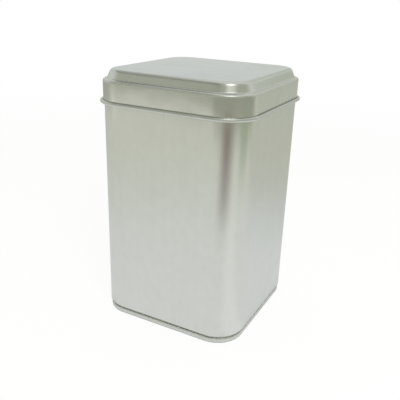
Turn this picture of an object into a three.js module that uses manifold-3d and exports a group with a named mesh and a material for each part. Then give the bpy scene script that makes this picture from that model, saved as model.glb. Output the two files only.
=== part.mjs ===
// A square tinplate canister with a stepped slip-on lid, in millimetres, +Z up.
// The origin is at the middle of the ring that the tin stands on.
// -Y is the front, and the side seam runs up the rear.
// The tin is three pieces of folded sheet: the body wrap, the base panel seamed to it, and the drawn lid.
// Each is a strip of sheet seen edge-on, bent run by run, and carried round the tin's square plan.
import * as THREE from "three";
import { mergeVertices } from "three/addons/utils/BufferGeometryUtils.js";
import Module from "manifold-3d";

// The sheet, the daylight between two layers of a folded seam, and the slot left where a curl comes round
const SHEET = 0.25;
const LAYER_GAP = 0.08;
const CURL_SLOT = 0.2;

// Body wrap, measured over its outside
const BODY_WIDTH = 75;
const CORNER_RADIUS = 14;
const BODY_HEIGHT = 117.7;
const MOUTH_CURL = 1.9;

// Lock seam up the rear of the body: half a hook's length, how far the hooks stay from the neck and the
// curl, and how far they run on over the whole sheet at each end
const LOCK_REACH = 1.5;
const LOCK_MARGIN = 2;
const LOCK_LAP = 1;

// Double seam that joins the base to the body's drawn-in neck, which stands up clear of the seam before it
// leans out to the wall
const SEAM_HEIGHT = 2.5;
const SEAM_INSET = 0.4;
const STANDING_FLAT = 0.42;
const NECK_STAND = 0.45;
const NECK_RADIUS = 0.45;
const NECK_TURN = 65;

// Base panel, recessed above the standing ring, with one shallow stiffening step
const BASE_RECESS = 3.9;
const BASE_CORNER_RADIUS = 0.8;
const BASE_MARGIN = 5;
const BASE_STEP = 0.6;
const BASE_STEP_TURN = 50;

// Lid: slip fit over the body, rolled bead, skirt up to its shoulder, ledge that slopes in over the mouth
// curl and sits on it, and raised top, whose rise is measured from the shoulder
const LID_SLIP = 0.3;
const LID_SEAT_GAP = 0.1;
const LID_SKIRT = 9.82;
const LID_BEAD = 1.7;
const LID_SHOULDER_RADIUS = 0.9;
const LID_LEDGE = 1.23;
const LID_LEDGE_FALL = 20;
const LID_FOOT_RADIUS = 0.7;
const LID_RISE = 5.48;
const LID_RISER_LEAN = 25;
const LID_TOP_RADIUS = 2;

// Facets: steps round each corner of the plan, and the largest turn of one step of a tight or a wide bend
const CORNER_STEPS = 8;
const TIGHTEST_CORNER = 2;
const WIDE_BEND = 1;
const TIGHT_BEND_STEP = 30;
const WIDE_BEND_STEP = 15;

const PITCH = SHEET + LAYER_GAP;
const HALF_SHEET = SHEET / 2;
const radians = THREE.MathUtils.degToRad;

// A strip of sheet seen edge-on. Its mid-line starts at a point with a heading, and runs and bends follow.
// A positive bend turns left, and its radius is the mid-line's.
class SheetStrip {
  constructor(x, y, headingDegrees) {
    this.point = new THREE.Vector2(x, y);
    this.heading = radians(headingDegrees);
    this.stations = [];
    this.mark();
  }

  mark() {
    const normal = new THREE.Vector2(-Math.sin(this.heading), Math.cos(this.heading));
    this.stations.push({ point: this.point.clone(), normal });
  }

  run(length) {
    this.point.x += length * Math.cos(this.heading);
    this.point.y += length * Math.sin(this.heading);
    this.mark();
    return this;
  }

  bend(radius, degrees) {
    const largestStep = radius > WIDE_BEND ? WIDE_BEND_STEP : TIGHT_BEND_STEP;
    const steps = Math.ceil(Math.abs(degrees) / largestStep);
    const side = Math.sign(degrees) * radius;
    const centre = this.stations.at(-1).normal.clone().multiplyScalar(side).add(this.point);
    for (let i = 0; i < steps; i++) {
      this.heading += radians(degrees / steps);
      this.point.set(Math.sin(this.heading), -Math.cos(this.heading)).multiplyScalar(side).add(centre);
      this.mark();
    }
    return this;
  }

  // The strip's outline: along its right face to the far end, then back along its left face
  outline() {
    const face = (side) => this.stations.map(({ point, normal }) =>
      point.clone().addScaledVector(normal, side * HALF_SHEET));
    return [...face(-1), ...face(1).reverse()];
  }
}

// The tin's plan at an offset outside the body wall: a square with round corners, anticlockwise from above
function planLoop(offset) {
  const radius = Math.max(CORNER_RADIUS + offset, TIGHTEST_CORNER);
  const core = BODY_WIDTH / 2 + offset - radius;
  const loop = [];
  for (let corner = 0; corner < 4; corner++) {
    const middle = radians(corner * 90 + 45);
    const centre = new THREE.Vector2(Math.sign(Math.cos(middle)), Math.sign(Math.sin(middle)));
    centre.multiplyScalar(core);
    for (let i = 0; i <= CORNER_STEPS; i++) {
      const angle = radians((corner + i / CORNER_STEPS) * 90);
      loop.push(new THREE.Vector2(Math.cos(angle), Math.sin(angle)).multiplyScalar(radius).add(centre));
    }
  }
  return loop;
}

// Carries a section, given as offsets and heights, round the plan. A hoop's section closes on itself,
// and a panel's starts and ends at the middle of the tin.
function carriedRound(section, isPanel) {
  const positions = [];
  const faces = [];
  const loopSize = planLoop(0).length;
  for (const { x: offset, y: height } of section) {
    for (const { x, y } of planLoop(offset)) positions.push(x, y, height);
  }
  const bands = isPanel ? section.length - 1 : section.length;
  for (let band = 0; band < bands; band++) {
    const here = band * loopSize;
    const next = ((band + 1) % section.length) * loopSize;
    for (let i = 0; i < loopSize; i++) {
      const j = (i + 1) % loopSize;
      faces.push(here + i, here + j, next + j, here + i, next + j, next + i);
    }
  }
  if (isPanel) {
    const last = (section.length - 1) * loopSize;
    const firstMiddle = positions.length / 3;
    positions.push(0, 0, section[0].y, 0, 0, section.at(-1).y);
    for (let i = 0; i < loopSize; i++) {
      const j = (i + 1) % loopSize;
      faces.push(firstMiddle, j, i, firstMiddle + 1, last + i, last + j);
    }
  }
  const geometry = new THREE.BufferGeometry();
  geometry.setAttribute("position", new THREE.Float32BufferAttribute(positions, 3));
  geometry.setIndex(faces);
  return geometry;
}

// The turn of a curl that comes round to its own wall and leaves the slot open there
function curlTurn(radius) {
  const across = (CURL_SLOT + HALF_SHEET - radius) / (radius + HALF_SHEET);
  return 180 + THREE.MathUtils.radToDeg(Math.acos(across));
}

const wasm = await Module();
wasm.setup();

function toSolid(geometry) {
  const bare = geometry.clone();
  bare.deleteAttribute("normal");
  bare.deleteAttribute("uv");
  const merged = mergeVertices(bare);
  return new wasm.Manifold(new wasm.Mesh({
    numProp: 3,
    vertProperties: merged.attributes.position.array,
    triVerts: new Uint32Array(merged.index.array),
  }));
}

function toGeometry(solid) {
  const mesh = solid.getMesh();
  const geometry = new THREE.BufferGeometry();
  geometry.setAttribute("position", new THREE.BufferAttribute(mesh.vertProperties, 3));
  geometry.setIndex(new THREE.BufferAttribute(mesh.triVerts, 1));
  geometry.computeVertexNormals();
  return geometry;
}

// Mid-line offsets of the double seam's five layers, from the outside in
const seamLayer = (index) => -SEAM_INSET - HALF_SHEET - index * PITCH;
const COVER_WALL = seamLayer(0);
const BODY_HOOK = seamLayer(1);
const COVER_HOOK = seamLayer(2);
const NECK_WALL = seamLayer(3);
const CHUCK_WALL = seamLayer(4);

// Heights of the folds that the hooks turn round: the body's near the floor, the base's at the seam's top
const BODY_FOLD = SHEET + LAYER_GAP + HALF_SHEET + PITCH;
const COVER_FOLD = SEAM_HEIGHT - HALF_SHEET - PITCH;

// The neck leans out from the seam to the wall by two equal bends with a straight run between
const NECK_START = SEAM_HEIGHT + NECK_STAND;
const neckReach = -HALF_SHEET - NECK_WALL - 2 * NECK_RADIUS * (1 - Math.cos(radians(NECK_TURN)));
const neckRun = neckReach / Math.sin(radians(NECK_TURN));
const NECK_END = NECK_START + 2 * NECK_RADIUS * Math.sin(radians(NECK_TURN))
  + neckRun * Math.cos(radians(NECK_TURN));

const mouthRadius = (MOUTH_CURL - SHEET) / 2;
const MOUTH_CURL_HEIGHT = BODY_HEIGHT - MOUTH_CURL / 2;

// Body wrap from its hook in the base seam, up the neck and the wall, to the curl turned in at the mouth
function bodySection() {
  return new SheetStrip(BODY_HOOK, COVER_FOLD, -90)
    .run(COVER_FOLD - BODY_FOLD)
    .bend(PITCH, -180)
    .run(NECK_START - BODY_FOLD)
    .bend(NECK_RADIUS, -NECK_TURN)
    .run(neckRun)
    .bend(NECK_RADIUS, NECK_TURN)
    .run(MOUTH_CURL_HEIGHT - NECK_END)
    .bend(mouthRadius, curlTurn(mouthRadius))
    .outline();
}

// The two hooked edges of the wrap, seen from above, with a lead at each side that lies in the wall
const LOCK_LEAD = LOCK_REACH / 2;
const wallLine = BODY_WIDTH / 2 - HALF_SHEET;
const LOCK_BOTTOM = NECK_END + LOCK_MARGIN;
const LOCK_TOP = MOUTH_CURL_HEIGHT - mouthRadius - LOCK_MARGIN;

function outerHook() {
  return new SheetStrip(-LOCK_REACH - LOCK_LEAD, wallLine, 0)
    .run(2 * LOCK_REACH + LOCK_LEAD)
    .bend(PITCH, -180)
    .run(2 * LOCK_REACH)
    .outline();
}

function innerHook() {
  return new SheetStrip(LOCK_REACH + 3 * PITCH + LOCK_LEAD, wallLine, 180)
    .run(LOCK_LEAD)
    .bend(PITCH, 90)
    .bend(2 * PITCH, -90)
    .run(2 * LOCK_REACH)
    .bend(PITCH, -180)
    .run(2 * LOCK_REACH)
    .outline();
}

function hookSolid(outline) {
  const geometry = new THREE.ExtrudeGeometry(new THREE.Shape(outline), {
    depth: LOCK_TOP - LOCK_BOTTOM,
    bevelEnabled: false,
  });
  return toSolid(geometry.translate(0, 0, LOCK_BOTTOM));
}

// The wall opens where the hooks lie, and stays whole past their ends, where the real wrap only laps
function lockOpening() {
  const width = 2 * LOCK_REACH + 3 * PITCH;
  const height = LOCK_TOP - LOCK_BOTTOM - 2 * LOCK_LAP;
  const opening = new THREE.BoxGeometry(width, 4 * SHEET, height);
  opening.translate(1.5 * PITCH, wallLine, (LOCK_TOP + LOCK_BOTTOM) / 2);
  return toSolid(opening);
}

function bodyGeometry() {
  const wrap = toSolid(carriedRound(bodySection(), false));
  const body = wrap.subtract(lockOpening()).add(hookSolid(outerHook())).add(hookSolid(innerHook()));
  return toGeometry(body);
}

// Base panel from its middle, down the step and the chuck wall, under the standing ring and round the hook
function baseGeometry() {
  const stepRadius = BASE_STEP / 2 / (1 - Math.cos(radians(BASE_STEP_TURN)));
  const stepReach = 2 * stepRadius * Math.sin(radians(BASE_STEP_TURN));
  const panelHeight = BASE_RECESS + HALF_SHEET;
  const middleEdge = CHUCK_WALL - BASE_CORNER_RADIUS - BASE_MARGIN - stepReach;
  const footRadius = (COVER_WALL - CHUCK_WALL - STANDING_FLAT) / 2;
  const footTop = HALF_SHEET + footRadius;
  const section = new SheetStrip(middleEdge, panelHeight + BASE_STEP, 0)
    .bend(stepRadius, -BASE_STEP_TURN)
    .bend(stepRadius, BASE_STEP_TURN)
    .run(BASE_MARGIN)
    .bend(BASE_CORNER_RADIUS, -90)
    .run(panelHeight - BASE_CORNER_RADIUS - footTop)
    .bend(footRadius, 90)
    .run(STANDING_FLAT)
    .bend(footRadius, 90)
    .run(COVER_FOLD - footTop)
    .bend(PITCH, 180)
    .run(COVER_FOLD - BODY_FOLD)
    .outline();
  return carriedRound(section, true);
}

// The ledge's underside clears the mouth curl by the seat gap, and that gives the shoulder's height
const ledgeFall = radians(LID_LEDGE_FALL);
const curlAcross = LID_SHOULDER_RADIUS - LID_SLIP - HALF_SHEET - MOUTH_CURL / 2;
const curlRoom = LID_SHOULDER_RADIUS - HALF_SHEET - MOUTH_CURL / 2 - LID_SEAT_GAP;
const curlAbove = (curlRoom - curlAcross * Math.sin(ledgeFall)) / Math.cos(ledgeFall);
const LID_SHOULDER = MOUTH_CURL_HEIGHT - curlAbove;

// Lid from the middle of its raised top, over the riser and the ledge, down the skirt to the bead.
// Heights are above the shoulder.
function lidGeometry() {
  const turn = radians(90 - LID_RISER_LEAN);
  const bentDrop = LID_TOP_RADIUS * (1 - Math.cos(turn))
    + LID_FOOT_RADIUS * (Math.cos(ledgeFall) - Math.cos(turn))
    + LID_LEDGE * Math.sin(ledgeFall)
    + LID_SHOULDER_RADIUS * Math.cos(ledgeFall);
  const riserRun = (LID_RISE - HALF_SHEET - bentDrop) / Math.sin(turn);
  const reach = LID_TOP_RADIUS * Math.sin(turn)
    + riserRun * Math.cos(turn)
    + LID_FOOT_RADIUS * (Math.sin(turn) - Math.sin(ledgeFall))
    + LID_LEDGE * Math.cos(ledgeFall)
    + LID_SHOULDER_RADIUS * (1 - Math.sin(ledgeFall));
  const beadRadius = (LID_BEAD - SHEET) / 2;
  const section = new SheetStrip(LID_SLIP + HALF_SHEET - reach, LID_RISE - HALF_SHEET, 0)
    .bend(LID_TOP_RADIUS, LID_RISER_LEAN - 90)
    .run(riserRun)
    .bend(LID_FOOT_RADIUS, 90 - LID_RISER_LEAN - LID_LEDGE_FALL)
    .run(LID_LEDGE)
    .bend(LID_SHOULDER_RADIUS, LID_LEDGE_FALL - 90)
    .run(LID_SKIRT - LID_BEAD / 2)
    .bend(beadRadius, curlTurn(beadRadius))
    .outline();
  return carriedRound(section, true);
}

const tinplate = (color, roughness) =>
  new THREE.MeshStandardMaterial({ color, roughness, metalness: 1 });

function piece(name, geometry, material) {
  const mesh = new THREE.Mesh(geometry, material);
  mesh.name = name;
  return mesh;
}

const canister = new THREE.Group();
canister.add(piece("body_wrap", bodyGeometry(), tinplate(0xc3c6bf, 0.32)));
canister.add(piece("base_panel", baseGeometry(), tinplate(0xbabdb6, 0.36)));

const lid = piece("lid", lidGeometry(), tinplate(0xbfc2ba, 0.28));
lid.position.z = LID_SHOULDER;

const tin = new THREE.Group();
tin.add(canister, lid);

export default tin;
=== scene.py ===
# The looks of a square tin: its three folded sheets as fine smooth meshes, their tinplate, the floor, the
# light and the camera.
import math

import bmesh
import bpy
from mathutils import Matrix, Vector


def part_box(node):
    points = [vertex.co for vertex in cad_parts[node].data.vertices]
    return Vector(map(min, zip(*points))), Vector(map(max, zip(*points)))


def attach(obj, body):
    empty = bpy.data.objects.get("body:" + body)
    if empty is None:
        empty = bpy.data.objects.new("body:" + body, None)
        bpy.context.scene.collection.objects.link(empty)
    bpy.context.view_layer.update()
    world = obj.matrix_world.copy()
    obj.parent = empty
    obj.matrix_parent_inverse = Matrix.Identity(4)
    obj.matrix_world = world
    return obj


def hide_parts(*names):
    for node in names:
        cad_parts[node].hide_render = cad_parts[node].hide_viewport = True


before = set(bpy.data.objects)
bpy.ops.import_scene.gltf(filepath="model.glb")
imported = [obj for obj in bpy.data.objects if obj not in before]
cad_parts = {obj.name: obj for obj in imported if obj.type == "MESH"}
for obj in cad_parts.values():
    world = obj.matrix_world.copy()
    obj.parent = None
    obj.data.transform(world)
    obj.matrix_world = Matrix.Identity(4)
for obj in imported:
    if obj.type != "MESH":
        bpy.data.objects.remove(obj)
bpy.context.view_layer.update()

MM = 0.001
WHITE = (1, 1, 1, 1)

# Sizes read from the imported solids
body_low, body_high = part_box("body_wrap")
lid_low, lid_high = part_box("lid")
BODY_WIDTH = body_high.x - body_low.x
BODY_HEIGHT = body_high.z
LID_BOTTOM = lid_low.z
LID_TOP = lid_high.z

# Sheet, daylight between folded layers, and the slot where a curl comes round to its own wall
SHEET = 0.25 * MM
LAYER_GAP = 0.08 * MM
CURL_SLOT = 0.06 * MM
CORNER_RADIUS = 14 * MM
MOUTH_CURL = 1.9 * MM

# Double seam at the base, and the panel inside it
SEAM_HEIGHT = 2.5 * MM
SEAM_INSET = 0.4 * MM
STANDING_FLAT = 0.42 * MM
NECK_STAND = 0.45 * MM
NECK_RADIUS = 0.45 * MM
NECK_TURN = 65
BASE_RECESS = 3.9 * MM
BASE_CORNER_RADIUS = 0.8 * MM
BASE_MARGIN = 5 * MM
BASE_STEP = 0.6 * MM
BASE_STEP_TURN = 50

# Lock seam up the rear wall
LOCK_REACH = 1.5 * MM
LOCK_MARGIN = 2 * MM
LOCK_LAP = 1 * MM

# Lid
LID_SLIP = 0.3 * MM
LID_SEAT_GAP = 0.1 * MM
LID_BEAD = 1.7 * MM
LID_SHOULDER_RADIUS = 0.9 * MM
LID_LEDGE = 1.23 * MM
LID_LEDGE_FALL = 20
LID_FOOT_RADIUS = 0.7 * MM
LID_RISER_LEAN = 25
LID_TOP_RADIUS = 2 * MM

# Fineness of the meshes
BEND_STEP = 7.5
PLAN_STEPS = 20
RUN_SUPPORT = 0.25 * MM
SHARP_ANGLE = 40
MERGE_DISTANCE = 1e-6

# What each point of a sheet's outline is marked with, for its finish
SHEET_MARKS = ("fold", "settled", "dusty", "inside")
# A bend of this radius or less is marked as a full fold
FOLD_RADIUS = 1 * MM
# Dust on the open top of the base seam, as a share of what lies in the groove behind it
SEAM_TOP_DUST = 0.4

PITCH = SHEET + LAYER_GAP
HALF_SHEET = SHEET / 2


def compass(azimuth_degrees, elevation_degrees):
    """Unit vector from the tin towards a point seen at an azimuth (0 is the front) and an elevation."""
    azimuth = math.radians(azimuth_degrees)
    elevation = math.radians(elevation_degrees)
    level = math.cos(elevation)
    return Vector((math.sin(azimuth) * level, -math.cos(azimuth) * level, math.sin(elevation)))


def between(first, last, share):
    return first + (last - first) * share


# Sections of the three sheets: offset from the body's outer wall, and height


class SheetStrip:
    """A strip of sheet seen edge-on: its mid-line starts at a point with a heading, then runs and bends.

    The inner face is the one, left or right of the heading, that ends up inside the tin.
    """

    def __init__(self, x, y, heading_degrees, inner="left"):
        self.point = Vector((x, y))
        self.heading = math.radians(heading_degrees)
        self.inner = inner
        self.stations = []
        self.mark(fold=0)

    def left(self):
        """Unit vector to the left of the heading."""
        return Vector((-math.sin(self.heading), math.cos(self.heading)))

    def mark(self, fold, settled=0, dusty=0):
        """Notes the point: settled is 1 on the lid's ledge, darkened there partly as tarnish and partly as
        painted shade in its crease; dusty is 1 in a groove that dust dulls.
        """
        self.stations.append((self.point.copy(), self.left(), fold, settled, dusty))

    def run(self, length, **marks):
        """Goes straight on; a long run has a supporting point near each end."""
        steps = [length]
        if length > 3 * RUN_SUPPORT:
            steps = [RUN_SUPPORT, length - 2 * RUN_SUPPORT, RUN_SUPPORT]
        for step in steps:
            self.point += step * Vector((math.cos(self.heading), math.sin(self.heading)))
            self.mark(fold=0, **marks)
        return self

    def bend(self, radius, degrees, **marks):
        """Turns along an arc, to the left by positive degrees."""
        steps = math.ceil(abs(degrees) / BEND_STEP)
        side = math.copysign(radius, degrees)
        centre = self.point + side * self.left()
        for _ in range(steps):
            self.heading += math.radians(degrees / steps)
            self.point = centre - side * self.left()
            self.mark(fold=min(1, FOLD_RADIUS / radius), **marks)
        return self

    def outline(self):
        """Points with their marks along the right face to the far end, then back along the left face."""

        def face(side, offset):
            inside = float(side == self.inner)
            return [(point + offset * left, *marks, inside) for point, left, *marks in self.stations]

        return face("right", -HALF_SHEET) + face("left", HALF_SHEET)[::-1]


def curl_turn(radius):
    """How far a curl turns from its wall until only the slot is left between its end and that wall."""
    across = (CURL_SLOT + HALF_SHEET - radius) / (radius + HALF_SHEET)
    return 180 + math.degrees(math.acos(across))


def seam_layer(index):
    """Offset of a layer of the double seam, counted from its outer face."""
    return -SEAM_INSET - HALF_SHEET - index * PITCH


# From outside in: cover wall, body hook, cover hook, neck wall and chuck wall
COVER_WALL = seam_layer(0)
BODY_HOOK = seam_layer(1)
NECK_WALL = seam_layer(3)
CHUCK_WALL = seam_layer(4)
BODY_FOLD = SHEET + LAYER_GAP + HALF_SHEET + PITCH
COVER_FOLD = SEAM_HEIGHT - HALF_SHEET - PITCH
NECK_START = SEAM_HEIGHT + NECK_STAND
neck_sine = math.sin(math.radians(NECK_TURN))
neck_cosine = math.cos(math.radians(NECK_TURN))
neck_run = (-HALF_SHEET - NECK_WALL - 2 * NECK_RADIUS * (1 - neck_cosine)) / neck_sine
NECK_END = NECK_START + 2 * NECK_RADIUS * neck_sine + neck_run * neck_cosine
MOUTH_CURL_HEIGHT = BODY_HEIGHT - MOUTH_CURL / 2
mouth_radius = (MOUTH_CURL - SHEET) / 2


def body_strip():
    """From the hook in the base seam up the neck and the wall to the curl at the mouth."""
    return (
        SheetStrip(BODY_HOOK, COVER_FOLD, -90)
        .run(COVER_FOLD - BODY_FOLD)
        .bend(PITCH, -180)
        .run(NECK_START - BODY_FOLD, dusty=1)
        .bend(NECK_RADIUS, -NECK_TURN, dusty=1)
        .run(neck_run, dusty=1)
        .bend(NECK_RADIUS, NECK_TURN)
        .run(MOUTH_CURL_HEIGHT - NECK_END)
        .bend(mouth_radius, curl_turn(mouth_radius))
    )


def base_strip():
    """From the raised middle over the step, down inside the seam, round its foot and into its hook."""
    step_turn = math.radians(BASE_STEP_TURN)
    step_radius = BASE_STEP / 2 / (1 - math.cos(step_turn))
    panel_height = BASE_RECESS + HALF_SHEET
    middle_edge = CHUCK_WALL - BASE_CORNER_RADIUS - BASE_MARGIN - 2 * step_radius * math.sin(step_turn)
    foot_radius = (COVER_WALL - CHUCK_WALL - STANDING_FLAT) / 2
    foot_top = HALF_SHEET + foot_radius
    return (
        SheetStrip(middle_edge - RUN_SUPPORT, panel_height + BASE_STEP, 0)
        .run(RUN_SUPPORT)
        .bend(step_radius, -BASE_STEP_TURN)
        .bend(step_radius, BASE_STEP_TURN)
        .run(BASE_MARGIN)
        .bend(BASE_CORNER_RADIUS, -90)
        .run(panel_height - BASE_CORNER_RADIUS - foot_top)
        .bend(foot_radius, 90)
        .run(STANDING_FLAT)
        .bend(foot_radius, 90)
        .run(COVER_FOLD - foot_top)
        .bend(PITCH, 180, dusty=SEAM_TOP_DUST)
        .run(COVER_FOLD - BODY_FOLD)
    )


def lid_strip():
    """From the flat top down the riser, over the ledge and down the skirt to the bead."""
    fall_sine = math.sin(math.radians(LID_LEDGE_FALL))
    fall_cosine = math.cos(math.radians(LID_LEDGE_FALL))
    turn = 90 - LID_RISER_LEAN
    turn_sine = math.sin(math.radians(turn))
    turn_cosine = math.cos(math.radians(turn))
    # The ledge's underside clears the mouth's curl by the seat gap, which places the shoulder
    curl_across = LID_SHOULDER_RADIUS - LID_SLIP - HALF_SHEET - MOUTH_CURL / 2
    curl_room = LID_SHOULDER_RADIUS - HALF_SHEET - MOUTH_CURL / 2 - LID_SEAT_GAP
    shoulder = MOUTH_CURL_HEIGHT - (curl_room - curl_across * fall_sine) / fall_cosine
    bend_drop = (
        LID_TOP_RADIUS * (1 - turn_cosine)
        + LID_FOOT_RADIUS * (fall_cosine - turn_cosine)
        + LID_LEDGE * fall_sine
        + LID_SHOULDER_RADIUS * fall_cosine
    )
    riser_run = (LID_TOP - HALF_SHEET - shoulder - bend_drop) / turn_sine
    reach = (
        LID_TOP_RADIUS * turn_sine
        + riser_run * turn_cosine
        + LID_FOOT_RADIUS * (turn_sine - fall_sine)
        + LID_LEDGE * fall_cosine
        + LID_SHOULDER_RADIUS * (1 - fall_sine)
    )
    top_edge = LID_SLIP + HALF_SHEET - reach
    bead_radius = (LID_BEAD - SHEET) / 2
    return (
        SheetStrip(top_edge - RUN_SUPPORT, LID_TOP - HALF_SHEET, 0, inner="right")
        .run(RUN_SUPPORT)
        .bend(LID_TOP_RADIUS, -turn)
        .run(riser_run)
        .bend(LID_FOOT_RADIUS, turn - LID_LEDGE_FALL)
        # The ledge is marked for its mottled darkening, partly tarnish and partly painted shade in its
        # crease
        .run(LID_LEDGE, settled=1)
        .bend(LID_SHOULDER_RADIUS, LID_LEDGE_FALL - 90)
        .run(shoulder - LID_BOTTOM - LID_BEAD / 2)
        .bend(bead_radius, curl_turn(bead_radius))
    )


class TreeWriter:
    """Adds nodes to a tree and joins their sockets."""

    def __init__(self, tree):
        self.tree = tree

    def node(self, kind, inputs=None, **settings):
        node = self.tree.nodes.new(kind)
        for name, value in settings.items():
            setattr(node, name, value)
        for socket, value in (inputs or {}).items():
            if isinstance(value, bpy.types.NodeSocket):
                self.tree.links.new(value, node.inputs[socket])
            else:
                node.inputs[socket].default_value = value
        return node

    def math(self, operation, first, second=0.0):
        return self.node("ShaderNodeMath", {0: first, 1: second}, operation=operation).outputs[0]

    def added(self, total, mark, share):
        """The total with a share of a mark added to it."""
        return self.math("ADD", total, self.math("MULTIPLY", mark, share))

    def vector_math(self, operation, inputs):
        return self.node("ShaderNodeVectorMath", inputs, operation=operation).outputs

    def mapped(self, value, low, high, new_low=0.0, new_high=1.0):
        """The value carried smoothly from one range to another and held at its ends."""
        inputs = {0: value, 1: low, 2: high, 3: new_low, 4: new_high}
        return self.node("ShaderNodeMapRange", inputs, interpolation_type="SMOOTHSTEP").outputs[0]

    def noise(self, place, scale, detail, roughness):
        inputs = {"Vector": place, "Scale": scale, "Detail": detail, "Roughness": roughness}
        return self.node("ShaderNodeTexNoise", inputs).outputs["Fac"]

    def attribute(self, name, output="Fac"):
        return self.node("ShaderNodeAttribute", attribute_name=name).outputs[output]

    def mix_colour(self, factor, first, second):
        node = self.node("ShaderNodeMix", {0: factor, 6: first, 7: second}, data_type="RGBA")
        return node.outputs[2]

    def ramp(self, factor, stops):
        node = self.node("ShaderNodeValToRGB", {0: factor})
        elements = node.color_ramp.elements
        # New stops start in the middle, and the loop below gives each its own position
        while len(elements) < len(stops):
            elements.new(0.5)
        for element, (position, colour) in zip(elements, stops):
            element.position = position
            element.color = (*colour, 1)
        return node.outputs["Color"]


def node_writer(owner):
    """A writer on the emptied node tree of a material or a world."""
    owner.use_nodes = True
    owner.node_tree.nodes.clear()
    return TreeWriter(owner.node_tree)


# Geometry Nodes tree that carries a sheet's section round the tin's square plan
SWEEP_INPUTS = (
    ("Section", "NodeSocketGeometry"),
    ("Plan width", "NodeSocketFloat"),
    ("Corner radius", "NodeSocketFloat"),
    ("Plan steps", "NodeSocketInt"),
    ("Panel upper face", "NodeSocketFloat"),
    ("Panel lower face", "NodeSocketFloat"),
    ("Finish", "NodeSocketMaterial"),
)
FACES_AT_CLOSED_EDGE = 2


def plan_sweep_tree():
    tree = bpy.data.node_groups.new("Sheet carried round the plan", "GeometryNodeTree")
    for name, kind in SWEEP_INPUTS:
        tree.interface.new_socket(name, in_out="INPUT", socket_type=kind)
    tree.interface.new_socket("Sheet", in_out="OUTPUT", socket_type="NodeSocketGeometry")

    write = TreeWriter(tree)
    given = write.node("NodeGroupInput").outputs

    # The plan is a square with round corners, and the section is carried round it upright
    square = write.node(
        "GeometryNodeCurvePrimitiveQuadrilateral",
        {"Width": given["Plan width"], "Height": given["Plan width"]},
    )
    bezier = write.node("GeometryNodeCurveSplineType", {"Curve": square.outputs[0]}, spline_type="BEZIER")
    rounded = write.node(
        "GeometryNodeFilletCurve",
        {"Curve": bezier.outputs[0], "Radius": given["Corner radius"]},
        mode="BEZIER",
    )
    # Free handles let the straight sides take steps as the corners do
    freed = write.node(
        "GeometryNodeCurveSetHandles",
        {"Curve": rounded.outputs[0]},
        handle_type="FREE",
        mode={"LEFT", "RIGHT"},
    )
    fine = write.node(
        "GeometryNodeSetSplineResolution",
        {"Geometry": freed.outputs[0], "Resolution": given["Plan steps"]},
    )
    path = write.node("GeometryNodeSetCurveNormal", {"Curve": fine.outputs[0]}, mode="Z_UP")
    section = write.node("GeometryNodeMeshToCurve", {"Mesh": given["Section"]})
    sweep = write.node(
        "GeometryNodeCurveToMesh", {"Curve": path.outputs[0], "Profile Curve": section.outputs[0]}
    ).outputs[0]

    # An open section leaves two loops one above the other, and a flat panel closes each
    both_faces = write.math("ADD", given["Panel upper face"], given["Panel lower face"])
    middle = write.math("MULTIPLY", both_faces, 0.5)
    place = write.node("ShaderNodeSeparateXYZ", {0: write.node("GeometryNodeInputPosition").outputs[0]})
    is_above = write.math("GREATER_THAN", place.outputs["Z"], middle)
    neighbours = write.node("GeometryNodeInputMeshEdgeNeighbors").outputs[0]
    is_open = write.math("LESS_THAN", neighbours, FACES_AT_CLOSED_EDGE)
    upper_loop = write.node(
        "GeometryNodeMeshToCurve", {"Mesh": sweep, "Selection": write.math("MULTIPLY", is_open, is_above)}
    )
    panel = write.node("GeometryNodeFillCurve", {"Curve": upper_loop.outputs[0]}, mode="NGONS")

    def panel_at(height):
        move = write.node("ShaderNodeCombineXYZ", {"Z": height})
        return write.node(
            "GeometryNodeTransform", {"Geometry": panel.outputs[0], "Translation": move.outputs[0]}
        ).outputs[0]

    underside = write.node("GeometryNodeFlipFaces", {"Mesh": panel_at(given["Panel lower face"])})
    whole = write.node("GeometryNodeJoinGeometry")
    for part in (underside.outputs[0], panel_at(given["Panel upper face"]), sweep):
        tree.links.new(part, whole.inputs[0])
    merged = write.node(
        "GeometryNodeMergeByDistance", {"Geometry": whole.outputs[0], "Distance": MERGE_DISTANCE}
    )
    real = write.node("GeometryNodeRealizeInstances", {"Geometry": merged.outputs[0]})
    finished = write.node(
        "GeometryNodeSetMaterial", {"Geometry": real.outputs[0], "Material": given["Finish"]}
    )
    write.node("NodeGroupOutput", {"Sheet": finished.outputs[0]})
    return tree


plan_sweep = plan_sweep_tree()


def plain_mesh(host):
    """The host's evaluated geometry as a plain mesh; the host is removed."""
    mesh = bpy.data.meshes.new_from_object(host.evaluated_get(bpy.context.evaluated_depsgraph_get()))
    bpy.data.objects.remove(host)
    return mesh


def placed(name, mesh):
    """A new object in the scene, at the origin, that holds the mesh."""
    mesh.name = name
    piece = bpy.data.objects.new(name, mesh)
    bpy.context.scene.collection.objects.link(piece)
    return piece


def section_mesh(name, outline, closed):
    """A sheet's outline as a line of edges: offset along X, height down Y, as the sweep reads it."""
    mesh = bpy.data.meshes.new(name)
    points = outline[::-1]
    count = len(points)
    edges = [(i, (i + 1) % count) for i in range(count if closed else count - 1)]
    mesh.from_pydata([(point.x, -point.y, 0) for point, *_ in points], edges, [])
    for mark, values in zip(SHEET_MARKS, list(zip(*points))[1:]):
        mesh.attributes.new(mark, "FLOAT", "POINT").data.foreach_set("value", values)
    return mesh


def carried_round(name, strip, finish, has_panel):
    """A sheet of the tin: its strip swept round the plan, and closed by a panel where it has one."""
    outline = strip.outline()
    host = placed(name + "_section", section_mesh(name, outline, closed=not has_panel))
    sweep = host.modifiers.new("sweep", "NODES")
    sweep.node_group = plan_sweep
    values = {
        "Plan width": BODY_WIDTH,
        "Corner radius": CORNER_RADIUS,
        "Plan steps": PLAN_STEPS,
        "Panel upper face": outline[-1][0].y,
        "Panel lower face": outline[0][0].y,
        "Finish": finish,
    }
    for item in plan_sweep.interface.items_tree:
        if item.name in values:
            sweep[item.identifier] = values[item.name]
    return placed(name, plain_mesh(host))


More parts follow.
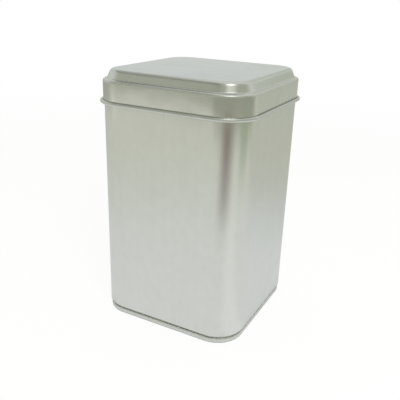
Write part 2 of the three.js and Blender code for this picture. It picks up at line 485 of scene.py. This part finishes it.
# Lock seam: the wrap's two hooked edges, seen from above, let into the rear wall
LOCK_LEAD = LOCK_REACH / 2
LOCK_FAR_SIDE = LOCK_REACH + 3 * PITCH
LOCK_BOTTOM = NECK_END + LOCK_MARGIN
LOCK_TOP = MOUTH_CURL_HEIGHT - mouth_radius - LOCK_MARGIN
wall_line = BODY_WIDTH / 2 - HALF_SHEET


def outer_hook():
    return (
        SheetStrip(-LOCK_REACH - LOCK_LEAD, wall_line, 0)
        .run(2 * LOCK_REACH + LOCK_LEAD)
        .bend(PITCH, -180)
        .run(2 * LOCK_REACH)
    )


def inner_hook():
    return (
        SheetStrip(LOCK_FAR_SIDE + LOCK_LEAD, wall_line, 180)
        .run(LOCK_LEAD)
        .bend(PITCH, 90)
        .bend(2 * PITCH, -90)
        .run(2 * LOCK_REACH)
        .bend(PITCH, -180)
        .run(2 * LOCK_REACH)
    )


def upright_prism(name, plan, bottom, top):
    """A closed prism over a plan given as points, in either turning direction."""
    count = len(plan)
    vertices = [(*point, z) for z in (bottom, top) for point in plan]
    faces = [(i, (i + 1) % count, count + (i + 1) % count, count + i) for i in range(count)]
    faces += [tuple(range(count))[::-1], tuple(range(count, 2 * count))]
    mesh = bpy.data.meshes.new(name)
    mesh.from_pydata(vertices, [], faces)
    facing = bmesh.new()
    facing.from_mesh(mesh)
    bmesh.ops.recalc_face_normals(facing, faces=facing.faces)
    facing.to_mesh(mesh)
    facing.free()
    return placed(name, mesh)


def mark_lock_seam(mesh):
    """Marks the seam's points for their finish, because the hooks are joined in without marks."""
    seam_half = LOCK_FAR_SIDE + 2 * LOCK_LEAD
    for vertex in mesh.vertices:
        across, depth, height = vertex.co
        in_rear_strip = depth > 0 and abs(across) < seam_half
        if in_rear_strip and LOCK_BOTTOM - SHEET <= height <= LOCK_TOP + SHEET:
            mesh.attributes["fold"].data[vertex.index].value = 0
            mesh.attributes["inside"].data[vertex.index].value = float(depth < wall_line)


def let_in_lock_seam(body):
    """The body with its rear wall cut open and the two hooks joined in."""
    front, back = wall_line - SHEET, wall_line + SHEET
    opening = upright_prism(
        "lock_opening",
        [(-LOCK_REACH, front), (LOCK_FAR_SIDE, front), (LOCK_FAR_SIDE, back), (-LOCK_REACH, back)],
        LOCK_BOTTOM + LOCK_LAP,
        LOCK_TOP - LOCK_LAP,
    )
    hooks = [
        upright_prism(name, [point for point, *_ in strip.outline()], LOCK_BOTTOM, LOCK_TOP)
        for name, strip in (("outer_hook", outer_hook()), ("inner_hook", inner_hook()))
    ]
    for operation, tools in (("DIFFERENCE", [opening]), ("UNION", hooks)):
        for tool in tools:
            cut = body.modifiers.new(tool.name, "BOOLEAN")
            cut.operation = operation
            cut.solver = "EXACT"
            cut.object = tool
    joined = placed(body.name, plain_mesh(body))
    for tool in [opening, *hooks]:
        bpy.data.objects.remove(tool)
    mark_lock_seam(joined.data)
    return joined


def smooth_bends(piece):
    piece.data.shade_smooth()
    piece.data.set_sharp_from_angle(angle=math.radians(SHARP_ANGLE))
    return piece


# Colours of the tinplate, and how strongly each effect mixes them
TIN_BRIGHT = (0.61, 0.62, 0.585, 1)
TIN_DULL = (0.585, 0.597, 0.558, 1)
# Dark tint of handling smudges, and of the ledge's tarnish and painted shade
TIN_STAIN_AND_SHADE = (0.43, 0.425, 0.37, 1)
EDGE_TINT = (0.85, 0.86, 0.88, 1)
BLOOM_DULLS = 0.5
BANDS_DULL = 0.22
SMUDGES_STAIN = 0.18
RUBBING_BRIGHTENS = 0.35
# Strength of the ledge's darkening, partly tarnish and partly painted shade
TARNISH_AND_SHADE_DARKEN = 0.8

# What each effect adds to the roughness
GRAIN_ROUGH = 0.05
SMUDGE_ROUGH = 0.07
SCRATCH_ROUGH = 0.12
TARNISH_AND_SHADE_ROUGH = 0.12
MATT_ROUGH = 0.3

# Share of the inner faces and of dusty grooves that scatters light as a matt coat does
MATT_SHARE = 0.65
# Mark from which a point counts as wholly on an inner face
INNER_FACE_FULL = 0.4

# Depth of the sheet's waves, with the grain and the scratches as shares of it
WAVE_DEPTH = 0.03 * MM
GRAIN_RELIEF = 0.012
SCRATCH_RELIEF = 0.02

# A hairline scratch follows the middle level of a noise, and half its width is given in levels
NOISE_MIDDLE = 0.5
HAIRLINE_HALF = 0.008

# Millimetres from the middle plane where the ledge's tarnish and painted shade start to fade, and where
# they are gone
LEDGE_DARKENING_FADES_FROM = 19
LEDGE_DARKENING_GONE_AT = 25


def effect_group(name, inputs, outputs):
    """An empty shader group with named sockets, with the writer and the input sockets to fill it."""
    tree = bpy.data.node_groups.new(name, "ShaderNodeTree")
    for socket, kind in inputs:
        tree.interface.new_socket(socket, in_out="INPUT", socket_type=kind)
    for socket in outputs:
        tree.interface.new_socket(socket, in_out="OUTPUT", socket_type="NodeSocketFloat")
    write = TreeWriter(tree)
    return tree, write, write.node("NodeGroupInput").outputs


def rolled_grain_group():
    """Fine lines that the rolling mill leaves, along the axis whose place is squeezed by the mapping."""
    inputs = [("Place", "NodeSocketVector")]
    tree, write, given = effect_group("Rolled grain", inputs, ["Fine lines", "Broad bands"])
    fine = write.noise(given["Place"], scale=4.0, detail=3.0, roughness=0.6)
    broad = write.noise(given["Place"], scale=0.35, detail=2.0, roughness=0.5)
    lines = write.mapped(fine, low=0.3, high=0.7)
    bands = write.mapped(broad, low=0.35, high=0.65)
    write.node("NodeGroupOutput", {"Fine lines": lines, "Broad bands": bands})
    return tree


def sheet_mottle_group():
    """Slow waves and ripples of the pressed sheet and the cloudy bloom of its tin."""
    inputs = [("Place", "NodeSocketVector")]
    tree, write, given = effect_group("Sheet mottle", inputs, ["Waves", "Ripples", "Bloom"])
    waves = write.noise(given["Place"], scale=0.035, detail=1.0, roughness=0.4)
    ripples = write.noise(given["Place"], scale=0.085, detail=1.0, roughness=0.4)
    clouds = write.noise(given["Place"], scale=0.22, detail=4.0, roughness=0.6)
    bloom = write.mapped(clouds, low=0.35, high=0.68)
    write.node("NodeGroupOutput", {"Waves": waves, "Ripples": ripples, "Bloom": bloom})
    return tree


def handling_marks_group():
    """Hairline scratches in two directions and soft smudges left by hands."""
    inputs = [("Place", "NodeSocketVector")]
    tree, write, given = effect_group("Handling marks", inputs, ["Scratches", "Smudges"])

    def hairlines(turn, stretch):
        mapping = {"Vector": given["Place"], "Rotation": turn, "Scale": stretch}
        turned = write.node("ShaderNodeMapping", mapping).outputs[0]
        level = write.noise(turned, scale=1.0, detail=1.0, roughness=0.4)
        off_line = write.math("ABSOLUTE", write.math("SUBTRACT", level, NOISE_MIDDLE))
        return write.mapped(off_line, 0.0, HAIRLINE_HALF, new_low=1.0, new_high=0.0)

    crossing = write.math(
        "MAXIMUM",
        hairlines(turn=(0.5, 0.3, 0.9), stretch=(0.7, 0.006, 0.006)),
        hairlines(turn=(-0.7, 0.8, 0.2), stretch=(0.006, 0.6, 0.006)),
    )
    patches = write.noise(given["Place"], scale=0.09, detail=2.0, roughness=0.5)
    scratches = write.math("MULTIPLY", crossing, write.mapped(patches, low=0.5, high=0.66))
    touches = write.noise(given["Place"], scale=0.06, detail=5.0, roughness=0.62)
    smudges = write.mapped(touches, low=0.5, high=0.72)
    write.node("NodeGroupOutput", {"Scratches": scratches, "Smudges": smudges})
    return tree


def fold_wear_group():
    """Rubbed metal along tight folds, broken up so that no fold is worn evenly."""
    inputs = [("Place", "NodeSocketVector"), ("Fold", "NodeSocketFloat")]
    tree, write, given = effect_group("Fold wear", inputs, ["Rubbed"])
    patches = write.noise(given["Place"], scale=0.5, detail=4.0, roughness=0.65)
    worn = write.mapped(patches, low=0.4, high=0.62)
    write.node("NodeGroupOutput", {"Rubbed": write.math("MULTIPLY", worn, given["Fold"])})
    return tree


def settled_tarnish_group():
    """Cloudy darkening of the marked ledge at the front and the rear, partly tarnish and partly painted
    shade in its crease; it fades out towards the corners.
    """
    inputs = [("Place", "NodeSocketVector"), ("Darkened ledge", "NodeSocketFloat")]
    tree, write, given = effect_group("Ledge tarnish and painted shade", inputs, ["Tarnish and shade"])
    patches = write.noise(given["Place"], scale=0.13, detail=3.0, roughness=0.6)
    clouds = write.mapped(patches, low=0.35, high=0.6, new_low=0.5)
    across = write.node("ShaderNodeSeparateXYZ", {0: given["Place"]}).outputs["X"]
    aside = write.math("ABSOLUTE", across)
    towards_middle = write.mapped(aside, LEDGE_DARKENING_FADES_FROM, LEDGE_DARKENING_GONE_AT, new_low=1.0, new_high=0.0)
    tarnish_and_shade = write.math("MULTIPLY", write.math("MULTIPLY", clouds, towards_middle), given["Darkened ledge"])
    write.node("NodeGroupOutput", {"Tarnish and shade": tarnish_and_shade})
    return tree


rolled_grain = rolled_grain_group()
sheet_mottle = sheet_mottle_group()
handling_marks = handling_marks_group()
fold_wear = fold_wear_group()
settled_tarnish = settled_tarnish_group()


def placed_group(write, group, inputs):
    return write.node("ShaderNodeGroup", inputs, node_tree=group).outputs


def tinplate(name, rolling, satin, fold_matt, ripple, scuffs):
    """Bare tinplate.

    Rolling squeezes its grain along the sheet, and satin is its roughness. Folds are rougher by fold_matt,
    ripple is the share of ripples in its waves, and scuffs is the strength of its handling marks.
    """
    material = bpy.data.materials.new(name)
    write = node_writer(material)
    place = write.node("ShaderNodeTexCoord").outputs["Object"]
    in_mm = write.node("ShaderNodeMapping", {"Vector": place, "Scale": (1 / MM,) * 3}).outputs[0]
    along = write.node("ShaderNodeMapping", {"Vector": in_mm, "Scale": rolling}).outputs[0]
    fold, settled, dusty, inner_face = (write.attribute(mark) for mark in SHEET_MARKS)
    unfolded = write.math("SUBTRACT", 1.0, fold)
    inside = write.math("MULTIPLY", write.mapped(inner_face, 0.0, INNER_FACE_FULL), unfolded)
    matt = write.math("MAXIMUM", inside, dusty)

    grain = placed_group(write, rolled_grain, {"Place": along})
    mottle = placed_group(write, sheet_mottle, {"Place": in_mm})
    marks = placed_group(write, handling_marks, {"Place": in_mm})
    rubbed = placed_group(write, fold_wear, {"Place": in_mm, "Fold": fold})["Rubbed"]
    # Mottled darkening of the ledge: partly tarnish, partly painted shade in its crease
    tarnish_and_shade = placed_group(write, settled_tarnish, {"Place": in_mm, "Darkened ledge": settled})["Tarnish and shade"]
    scratches = write.math("MULTIPLY", marks["Scratches"], scuffs)
    smudges = write.math("MULTIPLY", marks["Smudges"], scuffs)

    bands = write.math("MULTIPLY", grain["Broad bands"], BANDS_DULL)
    colour = write.mix_colour(write.added(bands, mottle["Bloom"], BLOOM_DULLS), TIN_BRIGHT, TIN_DULL)
    for mark, share, tint in (
        (smudges, SMUDGES_STAIN, TIN_STAIN_AND_SHADE),
        (rubbed, RUBBING_BRIGHTENS, TIN_BRIGHT),
        (tarnish_and_shade, TARNISH_AND_SHADE_DARKEN, TIN_STAIN_AND_SHADE),
    ):
        colour = write.mix_colour(write.math("MULTIPLY", mark, share), colour, tint)

    roughness = write.math("ADD", write.math("MULTIPLY", grain["Fine lines"], GRAIN_ROUGH), satin)
    for mark, share in (
        (smudges, SMUDGE_ROUGH),
        (scratches, SCRATCH_ROUGH),
        (fold, fold_matt),
        (tarnish_and_shade, TARNISH_AND_SHADE_ROUGH),
        (matt, MATT_ROUGH),
    ):
        roughness = write.added(roughness, mark, share)
    metallic = write.math("SUBTRACT", 1.0, write.math("MULTIPLY", matt, MATT_SHARE))

    height = write.added(mottle["Waves"], mottle["Ripples"], ripple)
    height = write.added(height, grain["Fine lines"], GRAIN_RELIEF)
    height = write.added(height, scratches, -SCRATCH_RELIEF)
    bump = write.node("ShaderNodeBump", {"Height": height, "Distance": WAVE_DEPTH, "Strength": 1.0})

    shader = write.node(
        "ShaderNodeBsdfPrincipled",
        {
            "Base Color": colour,
            "Roughness": roughness,
            "Metallic": metallic,
            "Specular Tint": EDGE_TINT,
            "Normal": bump.outputs[0],
        },
    )
    write.node("ShaderNodeOutputMaterial", {"Surface": shader.outputs[0]})
    return material


# The tin, with the squeeze of the grain along the way each sheet was rolled
GRAIN_SQUEEZE = 0.02
body_finish = tinplate(
    "body_tinplate", rolling=(1, 1, GRAIN_SQUEEZE), satin=0.17, fold_matt=0.2, ripple=0.3, scuffs=0.35
)
lid_finish = tinplate(
    "lid_tinplate", rolling=(GRAIN_SQUEEZE, 1, 1), satin=0.13, fold_matt=0.2, ripple=2.5, scuffs=0.7
)
base_finish = tinplate(
    "base_tinplate", rolling=(1, GRAIN_SQUEEZE, 1), satin=0.21, fold_matt=0.5, ripple=0.5, scuffs=1.0
)

rolled_body = carried_round("rolled_body", body_strip(), body_finish, has_panel=False)
rolled_body = smooth_bends(let_in_lock_seam(rolled_body))
seamed_base = smooth_bends(carried_round("seamed_base", base_strip(), base_finish, has_panel=True))
drawn_lid = smooth_bends(carried_round("drawn_lid", lid_strip(), lid_finish, has_panel=True))

for piece, node, body, slot in (
    (rolled_body, "body_wrap", "canister", "body_tinplate"),
    (seamed_base, "base_panel", "canister", "base_tinplate"),
    (drawn_lid, "lid", "lid", "lid_tinplate"),
):
    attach(piece, body)
    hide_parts(node)

# Floor: nearly white to the camera, wholly white far off, and in reflections a pool of light whose colour
# changes with the distance from the tin, as a share of the reach
FLOOR_HALF = 20.0
FLOOR_COLOUR = (0.9, 0.9, 0.88, 1)
FLOOR_REACH = 0.7
WHITE_TO_CAMERA = 0.9
WHITER_FROM = 0.4
WHITE_TO_GLOSS = 0.85
FLOOR_POOL = (
    (0.08, (1.00, 1.01, 1.02)),
    (0.22, (0.93, 0.95, 0.95)),
    (0.32, (0.87, 0.88, 0.84)),
    (0.43, (0.84, 0.85, 0.78)),
    (0.64, (0.83, 0.84, 0.76)),
    (0.76, (0.98, 0.99, 0.90)),
    (1.00, (0.90, 0.91, 0.82)),
)
# Shade at the foot of the walls and behind the tin
CONTACT_REACH = 5 * MM
CONTACT_SHADE = 0.88
REAR_FROM = 0.05
REAR_TO = 0.2
REAR_SHADE = (0.87, 0.87, 0.82, 1)
# Paler ridge in the floor's pool of light before the front right corner, a painted highlight down the
# tin's corner in its reflection
RIDGE_AZIMUTH = 57
RIDGE_SPREAD = 20
RIDGE_REACH = 0.15
RIDGE_GLOW = 0.09


def floor_shade(write, place, away):
    """What the pool of light is multiplied by at the walls' foot, behind the tin and along the ridge."""
    across = write.node("ShaderNodeSeparateXYZ", {0: place}).outputs
    rear = write.mix_colour(write.mapped(across["Y"], REAR_FROM, REAR_TO), WHITE, REAR_SHADE)
    nearest = write.math(
        "MAXIMUM", write.math("ABSOLUTE", across["X"]), write.math("ABSOLUTE", across["Y"])
    )
    wall = BODY_WIDTH / 2
    contact = write.mapped(nearest, wall, wall + CONTACT_REACH, CONTACT_SHADE, 1.0)
    heading = write.vector_math("NORMALIZE", {0: place})["Vector"]
    ahead = write.vector_math("DOT_PRODUCT", {0: heading, 1: compass(RIDGE_AZIMUTH, 0)})["Value"]
    in_ridge = write.mapped(ahead, math.cos(math.radians(RIDGE_SPREAD)), 1.0)
    near_ridge = write.mapped(away, RIDGE_REACH, 2 * RIDGE_REACH, RIDGE_GLOW, 0.0)
    ridge = write.math("ADD", write.math("MULTIPLY", in_ridge, near_ridge), 1.0)
    level = write.math("MULTIPLY", contact, ridge)
    return write.vector_math("SCALE", {0: rear, "Scale": level})["Vector"]


def floor_finish():
    material = bpy.data.materials.new("pale_floor")
    write = node_writer(material)
    place = write.node("ShaderNodeTexCoord").outputs["Object"]
    away = write.vector_math("LENGTH", {0: place})["Value"]
    share_away = write.math("DIVIDE", away, FLOOR_REACH)
    ray = write.node("ShaderNodeLightPath").outputs
    is_seen = ray["Is Camera Ray"]
    is_gloss = write.math("MAXIMUM", ray["Is Glossy Ray"], ray["Is Transmission Ray"])
    seen_share = write.mapped(share_away, WHITER_FROM, 1.0, WHITE_TO_CAMERA, 1.0)
    seen_white = write.math("MULTIPLY", is_seen, seen_share)
    gloss_white = write.math("MULTIPLY", is_gloss, WHITE_TO_GLOSS)
    white_share = write.math("MAXIMUM", seen_white, gloss_white)
    pool = {0: write.ramp(share_away, FLOOR_POOL), 1: floor_shade(write, place, away)}
    glow = write.mix_colour(is_seen, write.vector_math("MULTIPLY", pool)["Vector"], WHITE)
    matt = write.node("ShaderNodeBsdfDiffuse", {"Color": FLOOR_COLOUR})
    white = write.node("ShaderNodeEmission", {"Color": glow, "Strength": 1.0})
    mix = write.node("ShaderNodeMixShader", {0: white_share, 1: matt.outputs[0], 2: white.outputs[0]})
    write.node("ShaderNodeOutputMaterial", {"Surface": mix.outputs[0]})
    return material


def pale_floor():
    mesh = bpy.data.meshes.new("floor")
    corners = [(-FLOOR_HALF, -FLOOR_HALF, 0), (FLOOR_HALF, -FLOOR_HALF, 0)]
    corners += [(FLOOR_HALF, FLOOR_HALF, 0), (-FLOOR_HALF, FLOOR_HALF, 0)]
    mesh.from_pydata(corners, [], [(0, 1, 2, 3)])
    mesh.materials.append(floor_finish())
    return placed("floor", mesh)


pale_floor()

# Camera, fitted to the tin's outline in the photograph
CAMERA_AZIMUTH = 27.58
CAMERA_ELEVATION = 21.40
CAMERA_ROLL = 1.834
CAMERA_DISTANCE = 272.894 * MM
CAMERA_TARGET = Vector((-0.112, -0.210, 55.27)) * MM
CAMERA_LENS = 47.485
CAMERA_SENSOR = 36
CAMERA_CLIP = 0.01


def photo_camera():
    camera = bpy.data.objects.new("photo_camera", bpy.data.cameras.new("photo_camera"))
    bpy.context.scene.collection.objects.link(camera)
    camera.data.lens = CAMERA_LENS
    camera.data.sensor_width = CAMERA_SENSOR
    camera.data.clip_start = CAMERA_CLIP
    back = compass(CAMERA_AZIMUTH, CAMERA_ELEVATION)
    right = Vector((0, 0, 1)).cross(back).normalized()
    up = back.cross(right)
    turn = Matrix((right, up, back)).transposed() @ Matrix.Rotation(math.radians(CAMERA_ROLL), 3, "Z")
    camera.matrix_world = Matrix.Translation(CAMERA_TARGET + CAMERA_DISTANCE * back) @ turn.to_4x4()
    return camera


bpy.context.scene.camera = photo_camera()
bpy.context.scene.view_settings.view_transform = "Standard"

# Light: a soft key lamp high beside the camera, in a room that is bright behind and dim in front
KEY_AZIMUTH = 41
KEY_ELEVATION = 46
KEY_DISTANCE = 0.7
KEY_SIZE = 0.4
KEY_POWER = 3.0
DIM_SIDE = 30
DIM_FROM = -0.35
DIM_TO = 0.25
FRONT_ROOM = (
    (0.00, (0.47, 0.49, 0.41)),
    (0.45, (0.54, 0.57, 0.48)),
    (0.80, (0.52, 0.54, 0.48)),
    (0.95, (0.60, 0.61, 0.57)),
)
BACK_ROOM = (
    (0.00, (0.70, 0.73, 0.64)),
    (0.14, (0.86, 0.89, 0.87)),
    (0.35, (0.84, 0.86, 0.81)),
    (0.60, (0.86, 0.88, 0.84)),
    (0.90, (0.90, 0.91, 0.88)),
)


def key_lamp():
    lamp = bpy.data.lights.new("key_lamp", "AREA")
    lamp.shape = "DISK"
    lamp.size = KEY_SIZE
    lamp.energy = KEY_POWER
    key = bpy.data.objects.new("key_lamp", lamp)
    bpy.context.scene.collection.objects.link(key)
    toward = compass(KEY_AZIMUTH, KEY_ELEVATION)
    key.location = KEY_DISTANCE * toward
    key.rotation_euler = toward.to_track_quat("Z", "Y").to_euler()
    key.visible_glossy = False


def studio_room():
    """The world: white to the camera, and a room that is shaded by direction and height to all else."""
    world = bpy.data.worlds.new("studio_room")
    bpy.context.scene.world = world
    write = node_writer(world)
    toward = write.node("ShaderNodeTexCoord").outputs["Generated"]
    height = write.node("ShaderNodeSeparateXYZ", {0: toward}).outputs["Z"]
    ahead = write.vector_math("DOT_PRODUCT", {0: toward, 1: compass(DIM_SIDE, 0)})["Value"]
    in_front = write.mapped(ahead, DIM_FROM, DIM_TO)
    room = write.mix_colour(in_front, write.ramp(height, BACK_ROOM), write.ramp(height, FRONT_ROOM))
    is_camera = write.node("ShaderNodeLightPath").outputs["Is Camera Ray"]
    colour = write.mix_colour(is_camera, room, WHITE)
    background = write.node("ShaderNodeBackground", {"Color": colour, "Strength": 1.0})
    write.node("ShaderNodeOutputWorld", {"Surface": background.outputs[0]})


key_lamp()
studio_room()

# Cards of light and shade round the tin, seen only in its reflections
CARD_STEPS = 24
CEILING_THINNED = 0.55
FAR_CARD_DISTANCES = (0.77, 0.46)
NEAR_CARD_LEAN = 0.1


def card_finish():
    material = bpy.data.materials.new("reflection_card")
    write = node_writer(material)
    clear = write.node("ShaderNodeBsdfTransparent")
    card = write.node("ShaderNodeEmission", {"Color": write.attribute("glow", "Color"), "Strength": 1.0})
    thinned = write.node(
        "ShaderNodeMixShader", {0: write.attribute("cover"), 1: clear.outputs[0], 2: card.outputs[0]}
    )
    write.node("ShaderNodeOutputMaterial", {"Surface": thinned.outputs[0]})
    return material


card_material = card_finish()


def rising(share, start, end):
    """0 up to the start, eased to 1 at the end."""
    climbed = min(1, max(0, (share - start) / (end - start)))
    return climbed * climbed * (3 - 2 * climbed)


def falling(share, start, end):
    """1 up to the start, eased to 0 at the end."""
    return 1 - rising(share, start, end)


def faded(share, edge):
    """1 along the middle of a card, eased to 0 over an edge at both of its ends."""
    return rising(share, 0, edge) * falling(share, 1 - edge, 1)


def reflection_card(name, place, colour, cover):
    """A curved card; place, colour and cover take shares of the way along it and up it."""
    shares = [i / CARD_STEPS for i in range(CARD_STEPS + 1)]
    spots = [(along, up) for up in shares for along in shares]
    row = CARD_STEPS + 1
    faces = [(i, i + 1, i + row + 1, i + row) for i in range(row * CARD_STEPS) if (i + 1) % row]
    mesh = bpy.data.meshes.new(name)
    mesh.from_pydata([place(*spot) for spot in spots], [], faces)
    glow = mesh.attributes.new("glow", "FLOAT_COLOR", "POINT")
    glow.data.foreach_set("color", [channel for spot in spots for channel in (*colour(*spot), 1)])
    thickness = mesh.attributes.new("cover", "FLOAT", "POINT")
    thickness.data.foreach_set("value", [cover(*spot) for spot in spots])
    mesh.materials.append(card_material)
    card = placed(name, mesh)
    card.visible_camera = False
    card.visible_diffuse = False
    card.visible_shadow = False


def sky_card(name, azimuths, elevations, colour, cover):
    """A card that hangs over part of the room, at a constant distance from the lid."""
    lid_middle = Vector((0, 0, LID_TOP))

    def place(along, up):
        toward = compass(between(*azimuths, along), between(*elevations, up))
        return lid_middle + KEY_DISTANCE * toward

    reflection_card(name, place, lambda along, up: colour, cover)


def standing_card(name, azimuths, distance, height, foot, head, cover):
    """A card that stands on the floor round part of the tin, coloured from its foot to its head."""

    def place(along, up):
        return compass(between(*azimuths, along), 0) * distance(along) + Vector((0, 0, height * up))

    reflection_card(name, place, lambda along, up: between(Vector(foot), Vector(head), up), cover)


# The key lamp's broad soft face, brightest in its middle
sky_card(
    "key_softbox",
    azimuths=(11, 75),
    elevations=(32, 84),
    colour=(3.4, 3.44, 3.34),
    cover=lambda along, up: faded(along, edge=0.35) * faded(up, edge=0.5),
)
# A dim ceiling from the left rear to the front, thinner towards its top
sky_card(
    "ceiling_card",
    azimuths=(-135, 5),
    elevations=(33, 67),
    colour=(0.28, 0.29, 0.25),
    cover=lambda along, up: faded(along, edge=0.2)
    * faded(up, edge=0.25)
    * between(1, CEILING_THINNED, rising(up, start=0.3, end=0.6)),
)
# A low dim band round the front, nearer to the tin from the front on to the right
standing_card(
    "far_card",
    azimuths=(-80, 135),
    distance=lambda along: between(*FAR_CARD_DISTANCES, rising(along, start=0.14, end=0.36)),
    height=0.13,
    foot=(0.44, 0.455, 0.375),
    head=(0.44, 0.455, 0.375),
    cover=lambda along, up: faded(along, edge=0.12),
)
# A taller paler band behind on the right
standing_card(
    "side_card",
    azimuths=(128, 180),
    distance=lambda along: 0.5,
    height=0.26,
    foot=(0.70, 0.73, 0.63),
    head=(0.63, 0.66, 0.57),
    cover=lambda along, up: faded(along, edge=0.3) * falling(up, start=0.7, end=1),
)
# A soft grey patch of the room behind the tin
sky_card(
    "rear_card",
    azimuths=(156, 216),
    elevations=(6, 44),
    colour=(0.74, 0.77, 0.69),
    cover=lambda along, up: faded(along, edge=0.35) * faded(up, edge=0.35),
)
# A low grey band on the left
standing_card(
    "left_card",
    azimuths=(-150, -52),
    distance=lambda along: 0.55,
    height=0.14,
    foot=(0.57, 0.58, 0.51),
    head=(0.57, 0.58, 0.51),
    cover=lambda along, up: faded(along, edge=0.2) * falling(up, start=0.7, end=1),
)
# A small leaning card close before the front right corner, grey at its foot and brown at its head
standing_card(
    "near_card",
    azimuths=(9, 60),
    distance=lambda along: 0.14,
    height=0.095,
    foot=(0.74, 0.77, 0.75),
    head=(0.24, 0.16, 0.125),
    cover=lambda along, up: faded(along + NEAR_CARD_LEAN * falling(up, start=0, end=0.7), edge=0.5)
    * rising(up, start=0, end=0.42)
    * falling(up, start=0.86, end=0.94),
)
# A small pale green card to the right
standing_card(
    "green_card",
    azimuths=(66, 105),
    distance=lambda along: 0.22,
    height=0.12,
    foot=(0.49, 0.57, 0.42),
    head=(0.49, 0.57, 0.42),
    cover=lambda along, up: faded(along, edge=0.35)
    * rising(up, start=0, end=0.5)
    * falling(up, start=0.51, end=0.64),
)
